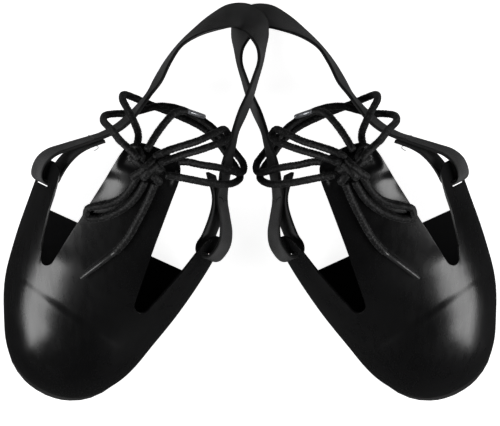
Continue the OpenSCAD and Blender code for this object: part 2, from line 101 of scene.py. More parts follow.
def smoothed(values, stiffness):
    """A slowly bending curve through evenly spaced values that are odd about both ends."""
    n = len(values)
    wide = np.concatenate([2 * values[0] - values[:0:-1], values, 2 * values[-1] - values[-2::-1]])
    m = len(wide)
    bend = np.diff(np.eye(m), 2, axis=0)
    return np.linalg.solve(np.eye(m) + stiffness * bend.T @ bend, wide)[n - 1:2 * n - 1]


ROOT = np.linspace(0, math.sqrt(TONGUE_END), 180)


def profile(column):
    """Smooth value of a column of SECTIONS, as a function of the station; even in its square root."""
    raw = np.interp(ROOT, np.sqrt(SECTIONS[:, 0]), SECTIONS[:, column])
    return smoothed(raw, 160)


OUTER_PROFILE, INNER_PROFILE, CREST_PROFILE = (profile(k) for k in (1, 2, 3))


def station_root(y):
    return np.sqrt(np.clip(np.asarray(y, float) - TOE_RIM, 0, None))


def half_width(y, inner):
    root = station_root(y)
    outer_w = np.interp(root, ROOT, OUTER_PROFILE)
    inner_w = np.interp(root, ROOT, INNER_PROFILE)
    return np.where(inner, inner_w, outer_w)


def crest(y):
    return np.interp(station_root(y), ROOT, CREST_PROFILE)


def wing_crest(y):
    return np.where(y <= NOTCH_Y, crest(y), crest(NOTCH_Y) + (y - NOTCH_Y) * 0.25)


def arch_z(x, w, top):
    return SOLE_T + (top - SOLE_T) * np.clip(1 - (np.abs(x) / w) ** ARCH_POWER, 0, 1) ** (1 / ARCH_POWER)


def tongue_flatness(z, y):
    """How far the tongue stands above the arch, whose height there is z, along its middle."""
    return 0.55 * ramp(y, 85, 100) * (1 - ramp(y, 132, 150)) * (crest(y) - z)


def tongue_z(x, y):
    z = arch_z(x, half_width(y, x >= 0), crest(y))
    return float(z + tongue_flatness(z, y))


def edge_table(table, column):
    ys = np.linspace(table[0, 0], table[-1, 0], 60)
    return ys, smoothed(np.interp(ys, table[:, 0], table[:, column]), 12)


EDGES = {(name, side): edge_table(table, side + 1)
         for name, table in (("wing", WING_EDGE), ("tongue", TONGUE_EDGE)) for side in (0, 1)}


def edge_angle(name, inner, y):
    """Angle round the arch of the wing's or tongue's edge, from 0 at that side's sole to the crest's."""
    y = np.asarray(y, float)
    ys, xs = EDGES[name, int(inner)]
    behind = np.maximum(y, NOTCH_Y)
    x = np.interp(behind, ys, xs)
    return np.arccos((x / half_width(behind, inner)) ** (ARCH_POWER / 2))


def wing_low(y):
    rise = np.clip((np.asarray(y, float) - SOLE_LEN) / (WING_END - SOLE_LEN), 0, 2)
    return SOLE_T + 27 * rise ** 0.9


def skin_point(y, angle, inner, top):
    """A point of the shell's outer surface; angle runs from 0 at the sole to 90 degrees at the crest."""
    w = half_width(y, inner)
    x = w * np.abs(np.cos(angle)) ** (2 / ARCH_POWER)
    z = SOLE_T + (top - SOLE_T) * np.abs(np.sin(angle)) ** (2 / ARCH_POWER)
    tuck = TUCK * np.minimum(1, y / 40) * np.clip(1 - (z - SOLE_T) / (0.35 * (top - SOLE_T)), 0, 1) ** 2
    x = (x - tuck) * np.where(inner, 1, -1)
    return np.stack(np.broadcast_arrays(x, y, z), axis=-1)


# ---- camera: straight above the pair, the toes at the view's lower edge ----
VIEW_HEIGHT = 2.5
VIEW_WIDTH = 0.3356
camera_data = bpy.data.cameras.new("camera")
camera = bpy.data.objects.new("camera", camera_data)
bpy.context.scene.collection.objects.link(camera)
camera_data.sensor_width = 36
camera_data.lens = camera_data.sensor_width * VIEW_HEIGHT / VIEW_WIDTH
camera_data.clip_end = 20
camera.location = (0, -0.0068, VIEW_HEIGHT)
bpy.context.scene.camera = camera


# ---- materials ----
def new_material(name, rough, metallic=0.0, specular=0.5, coat=0.0, coat_rough=0.2, sheen=0.0):
    material = bpy.data.materials.new(name)
    material.use_nodes = True
    nodes = material.node_tree.nodes
    shader = nodes["Principled BSDF"]
    shader.inputs["Roughness"].default_value = rough
    shader.inputs["Metallic"].default_value = metallic
    shader.inputs["Specular IOR Level"].default_value = specular
    shader.inputs["Coat Weight"].default_value = coat
    shader.inputs["Coat Roughness"].default_value = coat_rough
    shader.inputs["Sheen Weight"].default_value = sheen
    shader.inputs["Sheen Roughness"].default_value = 0.4
    return material, nodes, material.node_tree.links, shader


def object_coords(nodes, links, scale=(1, 1, 1)):
    coords = nodes.new("ShaderNodeTexCoord")
    mapping = nodes.new("ShaderNodeMapping")
    mapping.inputs["Scale"].default_value = scale
    links.new(coords.outputs["Object"], mapping.inputs["Vector"])
    return mapping.outputs["Vector"]


def noise(nodes, links, vector, scale, detail=4.0, rough=0.5):
    node = nodes.new("ShaderNodeTexNoise")
    node.inputs["Scale"].default_value = scale
    node.inputs["Detail"].default_value = detail
    node.inputs["Roughness"].default_value = rough
    links.new(vector, node.inputs["Vector"])
    return node.outputs["Fac"]


def mapped(nodes, links, value, low, high, to_low, to_high):
    node = nodes.new("ShaderNodeMapRange")
    node.inputs["From Min"].default_value = low
    node.inputs["From Max"].default_value = high
    node.inputs["To Min"].default_value = to_low
    node.inputs["To Max"].default_value = to_high
    links.new(value, node.inputs["Value"])
    return node.outputs["Result"]


def mixed_colour(nodes, links, factor, a, b):
    node = nodes.new("ShaderNodeMix")
    node.data_type = "RGBA"
    node.inputs["A"].default_value = (*a, 1)
    node.inputs["B"].default_value = (*b, 1)
    links.new(factor, node.inputs["Factor"])
    return node.outputs["Result"]


def bump(nodes, links, shader, height, strength, distance, under=None):
    node = nodes.new("ShaderNodeBump")
    node.inputs["Strength"].default_value = strength
    node.inputs["Distance"].default_value = distance
    links.new(height, node.inputs["Height"])
    if under is not None:
        links.new(under, node.inputs["Normal"])
    links.new(node.outputs["Normal"], shader.inputs["Normal"])
    return node.outputs["Normal"]


def shell_material():
    """Moulded black rubber: a satin skin with faint flow marks, fingerprints and fine pores."""
    material, nodes, links, shader = new_material("moulded_rubber", 0.3, specular=0.5)
    vector = object_coords(nodes, links)
    cloud = noise(nodes, links, vector, 18, 3)
    streaks = noise(nodes, links, object_coords(nodes, links, (1, 0.16, 1)), 240, 3)
    pores = noise(nodes, links, vector, 1500, 2)
    links.new(mixed_colour(nodes, links, mapped(nodes, links, cloud, 0.35, 0.65, 0, 1),
                           (0.0035, 0.0035, 0.0037), (0.006, 0.006, 0.0063)), shader.inputs["Base Color"])
    blend = nodes.new("ShaderNodeMath")
    blend.operation = "ADD"
    links.new(mapped(nodes, links, cloud, 0.3, 0.7, 0.22, 0.31), blend.inputs[0])
    links.new(mapped(nodes, links, streaks, 0.3, 0.7, -0.02, 0.04), blend.inputs[1])
    links.new(blend.outputs[0], shader.inputs["Roughness"])
    first = bump(nodes, links, shader, pores, 0.12, 0.0002)
    bump(nodes, links, shader, cloud, 0.12, 0.002, first)
    return material


def sole_material():
    material, nodes, links, shader = new_material("sole_rubber", 0.6)
    vector = object_coords(nodes, links)
    grain = noise(nodes, links, vector, 900, 3)
    cloud = noise(nodes, links, vector, 40, 4)
    links.new(mixed_colour(nodes, links, cloud, (0.02, 0.02, 0.021), (0.035, 0.034, 0.034)),
              shader.inputs["Base Color"])
    links.new(mapped(nodes, links, cloud, 0.3, 0.7, 0.5, 0.7), shader.inputs["Roughness"])
    bump(nodes, links, shader, grain, 0.3, 0.0003)
    return material


def strap_material():
    """Flat elastic rubber band: matte, a little greyer, with lines drawn along it, a dusty bloom and painted
    shade along its two edges.
    """
    material, nodes, links, shader = new_material("strap_rubber", 0.5, specular=0.45)
    attribute = nodes.new("ShaderNodeAttribute")
    attribute.attribute_name = "across"
    lines = nodes.new("ShaderNodeTexNoise")
    lines.noise_dimensions = "1D"
    lines.inputs["Scale"].default_value = 26
    lines.inputs["Detail"].default_value = 3
    links.new(attribute.outputs["Fac"], lines.inputs["W"])
    vector = object_coords(nodes, links)
    bloom = noise(nodes, links, vector, 60, 5)
    grain = noise(nodes, links, vector, 1400, 2)
    distance = nodes.new("ShaderNodeMath")
    distance.operation = "ABSOLUTE"
    links.new(attribute.outputs["Fac"], distance.inputs[0])
    # painted shade: the colour darkens to a near-black line along both edges of the band, standing in for
    # the shaded edge thickness
    painted_edge_shade = nodes.new("ShaderNodeMix")
    painted_edge_shade.data_type = "RGBA"
    painted_edge_shade.inputs["B"].default_value = (0.012, 0.012, 0.0123, 1)
    links.new(mapped(nodes, links, distance.outputs[0], 8.9, 9.6, 0, 1), painted_edge_shade.inputs["Factor"])
    links.new(painted_edge_shade.outputs["Result"], shader.inputs["Base Color"])
    links.new(mixed_colour(nodes, links, mapped(nodes, links, bloom, 0.3, 0.7, 0, 1),
                           (0.036, 0.036, 0.0365), (0.066, 0.066, 0.067)), painted_edge_shade.inputs["A"])
    links.new(mapped(nodes, links, bloom, 0.3, 0.7, 0.42, 0.56), shader.inputs["Roughness"])
    first = bump(nodes, links, shader, grain, 0.2, 0.0002)
    bump(nodes, links, shader, lines.outputs["Fac"], 0.35, 0.0004, first)
    return material


def lace_material():
    """Braided lace: painted shade darkens the gaps between the strands and the crowns are painted lighter.
    """
    material, nodes, links, shader = new_material("braided_lace", 0.6, specular=0.3, sheen=0.05)
    attribute = nodes.new("ShaderNodeAttribute")
    attribute.attribute_name = "braid"
    vector = object_coords(nodes, links)
    fibres = noise(nodes, links, vector, 2600, 2)
    specks = noise(nodes, links, vector, 800, 1)
    # painted shade and light: colour follows the braid height, near black in the gaps between strands and
    # lighter on their crowns
    painted_braid_shade = mixed_colour(nodes, links, mapped(nodes, links, attribute.outputs["Fac"], 0.2, 1, 0, 1),
                          (0.0015, 0.0015, 0.0016), (0.007, 0.007, 0.0072))
    speck = nodes.new("ShaderNodeMix")
    speck.data_type = "RGBA"
    speck.inputs["B"].default_value = (0.04, 0.04, 0.041, 1)
    links.new(painted_braid_shade, speck.inputs["A"])
    links.new(mapped(nodes, links, specks, 0.56, 0.66, 0, 0.9), speck.inputs["Factor"])
    links.new(speck.outputs["Result"], shader.inputs["Base Color"])
    bump(nodes, links, shader, fibres, 0.25, 0.0002)
    return material


def steel_material():
    material, nodes, links, shader = new_material("brushed_steel", 0.35, metallic=1.0)
    brush = noise(nodes, links, object_coords(nodes, links, (1, 14, 14)), 120, 4)
    links.new(mixed_colour(nodes, links, brush, (0.36, 0.37, 0.38), (0.56, 0.57, 0.58)),
              shader.inputs["Base Color"])
    links.new(mapped(nodes, links, brush, 0.3, 0.7, 0.28, 0.45), shader.inputs["Roughness"])
    bump(nodes, links, shader, brush, 0.2, 0.0002)
    return material


def fabric_material(name, dark, light, scale):
    """Plain weave: two crossed waves."""
    material, nodes, links, shader = new_material(name, 0.85, specular=0.2, sheen=0.3)
    vector = object_coords(nodes, links)
    waves = []
    for direction in ("X", "Y"):
        wave = nodes.new("ShaderNodeTexWave")
        wave.bands_direction = direction
        wave.inputs["Scale"].default_value = scale
        wave.inputs["Distortion"].default_value = 0.6
        links.new(vector, wave.inputs["Vector"])
        waves.append(wave.outputs["Fac"])
    weave = nodes.new("ShaderNodeMath")
    weave.operation = "MULTIPLY"
    links.new(waves[0], weave.inputs[0])
    links.new(waves[1], weave.inputs[1])
    links.new(mixed_colour(nodes, links, weave.outputs[0], dark, light), shader.inputs["Base Color"])
    bump(nodes, links, shader, weave.outputs[0], 0.5, 0.0004)
    return material


def sleeve_material(name, colour, rough, metallic):
    material, nodes, links, shader = new_material(name, rough, metallic=metallic, coat=0.4, coat_rough=0.15)
    scuffs = noise(nodes, links, object_coords(nodes, links), 700, 3)
    dark = tuple(c * 0.7 for c in colour)
    links.new(mixed_colour(nodes, links, scuffs, dark, colour), shader.inputs["Base Color"])
    links.new(mapped(nodes, links, scuffs, 0.3, 0.7, rough * 0.7, rough * 1.4), shader.inputs["Roughness"])
    bump(nodes, links, shader, scuffs, 0.15, 0.0002)
    return material


SHELL_MAT = shell_material()
SOLE_MAT = sole_material()
STRAP_MAT = strap_material()
LACE_MAT = lace_material()
STEEL_MAT = steel_material()
INSOLE_MAT = fabric_material("insole_weave", (0.012, 0.012, 0.013), (0.035, 0.035, 0.037), 420)
EDGING_MAT = fabric_material("edging_tape", (0.02, 0.02, 0.021), (0.05, 0.05, 0.052), 520)
THREAD_MAT = fabric_material("sewing_thread", (0.01, 0.01, 0.01), (0.05, 0.05, 0.05), 900)
GREY_SLEEVE_MAT = sleeve_material("grey_sleeve", (0.30, 0.31, 0.33), 0.3, 0.5)
BLACK_SLEEVE_MAT = sleeve_material("black_sleeve", (0.012, 0.012, 0.0125), 0.6, 0.0)


# ---- mesh helpers ----
def add_mesh(name, vertices, faces, material, side):
    """A smooth-shaded mesh from guard-frame millimetres. The right guard is the left one's mirror."""
    mesh = bpy.data.meshes.new(name)
    if side == "right":
        faces = [f[::-1] for f in faces]
    mesh.from_pydata([tuple(p) for p in place(vertices, side)], [], faces)
    mesh.materials.append(material)
    mesh.polygons.foreach_set("use_smooth", [True] * len(mesh.polygons))
    mesh.update()
    piece = bpy.data.objects.new(name, mesh)
    bpy.context.scene.collection.objects.link(piece)
    return piece


def add_modifier(piece, kind, **settings):
    modifier = piece.modifiers.new(kind.lower(), kind)
    for key, value in settings.items():
        setattr(modifier, key, value)
    return modifier


def smooth_path(points, step):
    """Evenly spaced points on a centripetal spline through the given ones, with any extra columns."""
    p = np.asarray(points, float)
    padded = np.vstack([2 * p[0] - p[1], p, 2 * p[-1] - p[-2]])
    knots = np.concatenate([[0], np.cumsum(np.linalg.norm(np.diff(padded[:, :3], axis=0), axis=1) ** 0.5)])
    out = []
    for i in range(1, len(padded) - 2):
        t = np.linspace(knots[i], knots[i + 1], 24, endpoint=False)[:, None]
        k0, k1, k2, k3 = knots[i - 1:i + 3]
        a1 = ((k1 - t) * padded[i - 1] + (t - k0) * padded[i]) / (k1 - k0)
        a2 = ((k2 - t) * padded[i] + (t - k1) * padded[i + 1]) / (k2 - k1)
        a3 = ((k3 - t) * padded[i + 1] + (t - k2) * padded[i + 2]) / (k3 - k2)
        b1 = ((k2 - t) * a1 + (t - k0) * a2) / (k2 - k0)
        b2 = ((k3 - t) * a2 + (t - k1) * a3) / (k3 - k1)
        out.append(((k2 - t) * b1 + (t - k1) * b2) / (k2 - k1))
    dense = np.vstack(out + [p[-1:]])
    run = np.concatenate([[0], np.cumsum(np.linalg.norm(np.diff(dense[:, :3], axis=0), axis=1))])
    count = max(2, int(round(run[-1] / step)) + 1)
    even = np.linspace(0, run[-1], count)
    return np.stack([np.interp(even, run, dense[:, k]) for k in range(p.shape[1])], axis=1), run[-1]


def tangents(p):
    t = np.gradient(p, axis=0)
    return t / np.linalg.norm(t, axis=1, keepdims=True)


def carried_frames(p):
    """Two unit vectors square to the path at each point, carried along it without twist."""
    t = tangents(p)
    start = np.array([0, 0, 1.0]) if abs(t[0][2]) < 0.8 else np.array([1.0, 0, 0])
    u = np.cross(t[0], start)
    us = []
    for tangent in t:
        u = u - tangent * (u @ tangent)
        u = u / np.linalg.norm(u)
        us.append(u)
    us = np.array(us)
    return us, np.cross(t, us)


def tube_faces(rings, sides, offset=0):
    faces = []
    for i in range(rings - 1):
        for k in range(sides):
            a, b = offset + i * sides + k, offset + i * sides + (k + 1) % sides
            faces.append((a, b, b + sides, a + sides))
    faces.append(tuple(offset + k for k in range(sides))[::-1])
    faces.append(tuple(offset + (rings - 1) * sides + k for k in range(sides)))
    return faces


LACE_R = 2.5
BRAID_AROUND = 8
BRAID_PITCH = 2.6
LACE_SIDES = 32


def braided_tube(points, radius, step=0.5):
    """Vertices, faces and braid heights of a round braid along the points, and its path and length."""
    p, length = smooth_path(points, step)
    u, v = carried_frames(p)
    run = np.linspace(0, length, len(p))[:, None]
    turn = np.linspace(0, 2 * math.pi, LACE_SIDES, endpoint=False)[None, :]
    right = np.sin(math.pi * (BRAID_AROUND * turn / (2 * math.pi) + run / BRAID_PITCH))
    left = np.sin(math.pi * (BRAID_AROUND * turn / (2 * math.pi) - run / BRAID_PITCH))
    height = np.abs(right * left)
    wobble = 1 + 0.02 * np.sin(run * 0.9) + 0.015 * np.sin(run * 0.37 + 1)
    ends = np.clip(np.minimum(run, length - run) / 1.2, 0, 1) ** 0.5
    r = radius * wobble * (0.87 + 0.15 * height ** 0.6) * (0.55 + 0.45 * ends)
    rings = p[:, None, :] + r[..., None] * (np.cos(turn)[..., None] * u[:, None, :]
                                            + np.sin(turn)[..., None] * v[:, None, :])
    return rings.reshape(-1, 3), tube_faces(len(p), LACE_SIDES), height.ravel(), p, length


def add_braid(name, strands, side, radius=LACE_R):
    """One piece of one or more braided strands."""
    vertices, faces, heights, paths, lengths = [], [], [], [], []
    for points in strands:
        verts, tube, height, path, length = braided_tube(points, radius)
        offset = sum(len(v) for v in vertices)
        vertices.append(verts)
        faces += [tuple(offset + i for i in f) for f in tube]
        heights.append(height)
        paths.append(path)
        lengths.append(length)
    piece = add_mesh(name, np.vstack(vertices), faces, LACE_MAT, side)
    attribute = piece.data.attributes.new("braid", "FLOAT", "POINT")
    attribute.data.foreach_set("value", np.concatenate(heights).astype(np.float32))
    return piece, paths[0], lengths[0]


# ---- laces: the same routes as the CAD part's ----
def on_tongue(x, y, more=0.0):
    return [x, y, tongue_z(x, y) + (LACE_R + 0.2) * 1.12 + more]


RING_OUTER = [[-8.8, 168.6, 111.5], [-9.2, 169.5, 103], [-10, 175, 100], [-12, 183, 96], [-19, 190.5, 82],
              [-27, 196.5, 67], [-33, 201, 54], [-34, 204.5, 40], [-28, 205.5, 27], [-14, 206, 22],
              [5, 207, 21], [24, 206, 20], [37, 201, 20], [47, 195, 23], [55, 190, 32],
              [58.5, 185.5, 46], [54, 179.5, 60], [43, 175, 76], [32, 172, 98], [24, 170, 109.5],
              [14.5, 167.5, 113.5]]
RING_INNER = [[10.5, 168, 113], [11, 169.5, 102], [13.5, 175, 97], [22, 180.5, 92], [32, 183, 86],
              [44, 186.5, 71], [55, 188.5, 57], [58.5, 191, 46], [56, 196, 34], [48, 200.5, 26],
              [38, 205, 24.5], [24, 210, 24], [5, 211.5, 24], [-10, 207.5, 27], [-18, 201.5, 27],
              [-26, 195, 24], [-34, 191, 27], [-39.5, 187, 38], [-38.5, 183, 54], [-29.5, 179.5, 80],
              [-22, 175.8, 102], [-18.8, 174.8, 110], [-13.8, 173.2, 114.2], [-8.8, 171.4, 116.6],
              [-4.6, 169.6, 117]]
BOW_REAR = [[8, 172, 116.5], [12, 176.5, 117.5], [18.5, 183, 114], [27.5, 191, 104], [35.5, 199, 92],
            [39.4, 203.4, 85], [40.4, 207.6, 80.8], [36.6, 210.2, 80.2], [32, 205.6, 88],
            [24.2, 196, 102.6], [15, 187.4, 113.2], [8, 180.6, 117.3], [3.2, 174.6, 116.2]]
BOW_FRONT = [on_tongue(-1.4, 160), on_tongue(-2.4, 151), on_tongue(-5.2, 142.5), on_tongue(-11, 135.2),
             on_tongue(-18, 130.6), on_tongue(-22.6, 126.6), on_tongue(-20.8, 121.8), on_tongue(-15, 123.2),
             on_tongue(-7.5, 129), on_tongue(-0.5, 138), on_tongue(3.2, 147), on_tongue(4.8, 159)]
END_REAR = [[-2.6, 176.5, 116.6], [-1.8, 186, 113], [0, 197, 104], [3.5, 207, 94], [9.5, 211, 87]]
END_FRONT = [on_tongue(10.8, 160), on_tongue(11, 148), on_tongue(10.2, 133), on_tongue(8.5, 119),
             on_tongue(5, 108)]
AGLET_REAR = [[9.5, 211, 87], [21.5, 212.5, 77]]
AGLET_FRONT = [on_tongue(5, 108, 0.6), on_tongue(-8.7, 83, 0.6)]
# The knot: a band of turns round the crossing strands, and two strands that cross under it
KNOT_CENTRE = np.array([3.5, 167, 113.6])


def knot_band():
    """A helix of turns lying close to each other round the strands that cross in the knot."""
    axis = np.array([0.86, -0.42, 0.05])
    up = np.array([0, 0, 1.0])
    side = np.cross(up, axis)
    turn = np.linspace(-0.25, 1.95, 34)[:, None] * 2 * math.pi
    shift = np.linspace(-3.4, 3.4, 34)[:, None]
    return KNOT_CENTRE + axis * shift + side * 6.2 * np.cos(turn) + up * 4.6 * np.sin(turn)


KNOT_TURNS = [
    knot_band(),
    [[-9, 169, 104], [-9, 169, 108.5], [-8.2, 168.6, 112], [-5, 167.8, 114.8], [0, 167.5, 115],
     [5, 168, 114.5]],
    [[11, 169, 104], [11, 169, 108.5], [10.4, 168.6, 112], [7, 168, 115], [2, 167.5, 115.4], [-3, 167, 114]],
    [[13.5, 161.5, 109], [10.5, 162.8, 112.8], [5, 165.5, 114], [-1, 169.5, 115], [-5.5, 173, 115.2],
     [-8.5, 175.5, 111.5]],
    [[-4, 157, 108], [-2, 160.5, 112.5], [1.5, 164.5, 115], [5.5, 169.5, 115.6], [9, 174, 115.4],
     [11, 177, 114]]]


def add_aglet(name, ends, radius, material, side):
    """A sleeve crimped on the lace: a rolled mouth, two pinched rings and a blunt tip."""
    a, b = np.array(ends[0], float), np.array(ends[1], float)
    length = np.linalg.norm(b - a)
    stations = [(-1.2, 0.72), (-1.2, 1.04), (-0.8, 1.10), (0, 1.04), (0.8, 1.0), (2.2, 1.0), (2.6, 0.9),
                (3.0, 1.0), (length * 0.5, 0.98), (length - 2.4, 0.95), (length - 2.0, 0.87),
                (length - 1.6, 0.94), (length - 0.7, 0.9), (length - 0.2, 0.74), (length, 0.4)]
    sides = 24
    d = (b - a) / length
    u = np.cross(d, [0, 0, 1.0])
    u = u / np.linalg.norm(u)
    v = np.cross(u, d)
    vertices = []
    for s, share in stations:
        for k in range(sides):
            angle = 2 * math.pi * k / sides
            seam = 0.9 if k == 0 else 1.0
            vertices.append(a + d * s + radius * share * seam * (u * math.cos(angle) + v * math.sin(angle)))
    faces = [f[::-1] for f in tube_faces(len(stations), sides)]
    piece = add_mesh(name, np.array(vertices), faces, material, side)
    return piece


def add_laces(side):
    body = f"{side}_guard"
    knot, _, _ = add_braid(f"{side}_knot_turns", KNOT_TURNS, side, LACE_R * 1.06)
    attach(knot, body)
    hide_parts(f"{side}_lace_knot")
    aglets = {
        "rear": add_aglet(f"{side}_rear_aglet_sleeve", AGLET_REAR, 1.7, GREY_SLEEVE_MAT, side),
        "front": add_aglet(f"{side}_front_aglet_sleeve", AGLET_FRONT, 1.65, BLACK_SLEEVE_MAT, side)}
    for end, sleeve in aglets.items():
        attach(sleeve, body)
        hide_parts(f"{side}_aglet_{end}")
    for node, route, far_end, on_it in (
            ("lace_ring_outer", RING_OUTER, "knot", [knot]), ("lace_ring_inner", RING_INNER, "knot", [knot]),
            ("bow_loop_rear", BOW_REAR, "knot", [knot]), ("bow_loop_front", BOW_FRONT, "knot", [knot]),
            ("lace_end_rear", END_REAR, "fitting", [aglets["rear"]]),
            ("lace_end_front", END_FRONT, "fitting", [aglets["front"]])):
        piece, path, length = add_braid(f"{side}_braid_{node}", [route], side)
        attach(piece, body)
        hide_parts(f"{side}_{node}")


for side in SIDES:
    add_laces(side)


# ---- shell ----
WING_STEPS, GAP_STEPS, TONGUE_STEPS = 26, 10, 30
COLUMNS = 2 * (WING_STEPS + GAP_STEPS) + TONGUE_STEPS
RIDGE = np.array([[-62, 62], [-41, 64.7], [-33, 63], [-18, 60.7], [1.6, 56.9], [21, 53.4], [40, 50.5],
                  [62, 48]])
RIDGE_BASE = 58
RIDGE_RISE = 0.55
OUTER_END = 85
INNER_END = 82
NOTCH_ROUND = 4.3
EYELETS = [[-9, 169], [11, 169]]
EYELET_R = 2.75


def column_angle(j, y):
    """Angle round the arch of column j, 0 at the outer sole edge and pi at the inner one, at station y."""
    outer_wing, outer_tongue = edge_angle("wing", False, y), edge_angle("tongue", False, y)
    inner_wing, inner_tongue = math.pi - edge_angle("wing", True, y), math.pi - edge_angle("tongue", True, y)
    marks = [0 * outer_wing, outer_wing, outer_tongue, inner_tongue, inner_wing, math.pi + 0 * outer_wing]
    steps = [WING_STEPS, GAP_STEPS, TONGUE_STEPS, GAP_STEPS, WING_STEPS]
    start = 0
    for k, count in enumerate(steps):
        if j <= start + count:
            t = (j - start) / count
            if count == GAP_STEPS:
                t = (1 - math.cos(math.pi * t)) / 2
            return marks[k] + t * (marks[k + 1] - marks[k])
        start += count
    return marks[-1]


def side_point(y, angle, top):
    inner = angle > math.pi / 2
    return skin_point(y, np.where(inner, math.pi - angle, angle), inner, top)


def toe_bulge(p):
    """How far the steel cap under the rubber pushes the surface out."""
    x, y = p[..., 0], p[..., 1]
    line = np.interp(x, RIDGE[:, 0], RIDGE[:, 1])
    step = 1 - ramp(y - line, -2.5, 3)
    across = ramp(x, -50, -40) * (1 - ramp(x, 12, 40))
    return RIDGE_RISE * step * across * ramp(p[..., 2], 8, 16)


def tongue_panel(p):
    """The outer half's bare panel under the knot, which slopes away to the tongue's outer edge."""
    x, y = p[..., 0], p[..., 1]
    return -0.012 * np.clip(-2 - x, 0, None) ** 2 * ramp(y, 122, 148) * (1 - ramp(y, 150, 156))


def tongue_dish(p):
    """The hollow round the knot, inside the tongue's rounded top rim."""
    x, y = p[..., 0], p[..., 1]
    inside = ramp(TONGUE_END - y, 2.2, 5) * ramp(y, 158, 164)
    width = ramp(x, -17, -13) * (1 - ramp(x, 18, 22.5))
    return 1.8 * inside * width


def shell_rows():
    """Stations of the dome's rows, close together at the toe and round the ridge."""
    toe = TOE_RIM + 0.35 + (np.linspace(0, 1, 26) ** 2) * (30 - TOE_RIM)
    return np.concatenate([toe, np.arange(33, 50, 2.0), np.arange(51, 66, 0.9), np.arange(66.5, 75, 1.7),
                           [NOTCH_Y]])


def dome_end(j):
    """Station at which column j leaves the dome: the upper end of the round bottom of the notches."""
    if j <= WING_STEPS + GAP_STEPS:
        return OUTER_END
    if j >= COLUMNS - WING_STEPS - GAP_STEPS:
        return INNER_END
    return OUTER_END + (INNER_END - OUTER_END) * (j - WING_STEPS - GAP_STEPS) / TONGUE_STEPS


def notch_share(j):
    """Place of column j across a notch, 0 and 1 at its edges, or None outside the notches."""
    for start in (WING_STEPS, COLUMNS - WING_STEPS - GAP_STEPS):
        if start <= j <= start + GAP_STEPS:
            return (j - start) / GAP_STEPS
    return None


def dome_grid():
    rows = shell_rows()
    grid = np.zeros((len(rows), COLUMNS + 1, 3))
    for j in range(COLUMNS + 1):
        angle = float(column_angle(j, np.array(float(NOTCH_Y))))
        side_x = side_point(np.array(float(RIDGE_BASE)), np.array(angle), crest(RIDGE_BASE))[0]
        ridge = float(np.interp(side_x, RIDGE[:, 0], RIDGE[:, 1]))
        share = notch_share(j)
        end = dome_end(j) - (0 if share is None else NOTCH_ROUND * math.sin(math.pi * share))
        y = rows + (ridge - RIDGE_BASE) * ramp(rows, 22, RIDGE_BASE) * (1 - ramp(rows, RIDGE_BASE, NOTCH_Y))
        y = y + (end - NOTCH_Y) * np.clip((rows - RIDGE_BASE - 4) / (NOTCH_Y - RIDGE_BASE - 4), 0, 1) ** 1.3
        on_wing = j <= WING_STEPS or j >= COLUMNS - WING_STEPS
        low = 1 if on_wing else 0
        if share is not None:
            low = 1 - share if j <= WING_STEPS + GAP_STEPS else share
        top = low * wing_crest(y) + (1 - low) * crest(y)
        angles = np.array([float(column_angle(j, np.array(v))) for v in y])
        grid[:, j] = side_point(y, angles, top)
    return grid


def wing_grid(inner):
    """Rows from the notch to the rounded tip; columns from the sole edge to the upper edge."""
    start = INNER_END if inner else OUTER_END
    rows = np.concatenate([np.linspace(start, 126, 26), [128, 129.3, 130.7, 132],
                           np.linspace(133.5, WING_END, 9)])
    shares = np.linspace(0, 1, WING_STEPS + 1)
    grid = np.zeros((len(rows), WING_STEPS + 1, 3))
    for k, share in enumerate(shares):
        tip = WING_END - (9 if share < 0.5 else 4) * abs(2 * share - 1) ** 3.4
        y = np.where(rows > 132, 132 + (rows - 132) * (tip - 132) / (WING_END - 132), rows)
        top = wing_crest(y)
        upper = edge_angle("wing", inner, y)
        drop = 3 * np.clip((y - 132) / (WING_END - 132), 0, 1) ** 2
        z_high = SOLE_T + (top - SOLE_T) * np.sin(upper) ** (2 / ARCH_POWER) - drop
        high = np.arcsin(np.clip((z_high - SOLE_T) / (top - SOLE_T), 0, 1) ** (ARCH_POWER / 2))
        low = np.arcsin(np.clip((wing_low(y) - SOLE_T) / (top - SOLE_T), 0, 1) ** (ARCH_POWER / 2))
        grid[:, k] = skin_point(y, low + share * (high - low), np.full(len(y), inner), top)
    return grid


def tongue_grid():
    """Rows from the notches to the rounded top; columns from the outer to the inner edge."""
    rows = np.concatenate([np.linspace(0, 1, 44), np.linspace(161.4, TONGUE_END, 16)])
    grid = np.zeros((len(rows), TONGUE_STEPS + 1, 3))
    for k in range(TONGUE_STEPS + 1):
        t = k / TONGUE_STEPS
        start = OUTER_END + (INNER_END - OUTER_END) * t
        end = 168 + (TONGUE_END - 168) * (1 - abs(2 * t - 1) ** 2.2) ** (1 / 2.2)
        y = np.where(rows > 1, 160 + (rows - 160) * (end - 160) / (TONGUE_END - 160),
                     start + rows * (160 - start))
        held = np.minimum(y, 169)
        outer, inner = edge_angle("tongue", False, held), math.pi - edge_angle("tongue", True, held)
        grid[:, k] = side_point(y, outer + t * (inner - outer), crest(y))
    return grid


def grid_normals(grid):
    along, across = np.gradient(grid, axis=0), np.gradient(grid, axis=1)
    n = np.cross(across, along)
    n = n / np.maximum(np.linalg.norm(n, axis=-1, keepdims=True), 1e-9)
    return n


class Sheet:
    """Collects grids of points into one open sheet; points that coincide are shared."""

    def __init__(self):
        self.points = []
        self.faces = []
        self.known = {}

    def vertex(self, p):
        key = tuple(np.round(p, 3))
        if key not in self.known:
            self.known[key] = len(self.points)
            self.points.append(p)
        return self.known[key]

    def add(self, grid, keep=lambda i, j: True, flip=False):
        ids = [[self.vertex(p) for p in row] for row in grid]
        for i in range(len(grid) - 1):
            for j in range(grid.shape[1] - 1):
                if keep(i, j):
                    quad = [ids[i][j], ids[i][j + 1], ids[i + 1][j + 1], ids[i + 1][j]]
                    quad = list(dict.fromkeys(quad))
                    if len(quad) > 2:
                        self.faces.append(tuple(quad[::-1] if flip else quad))


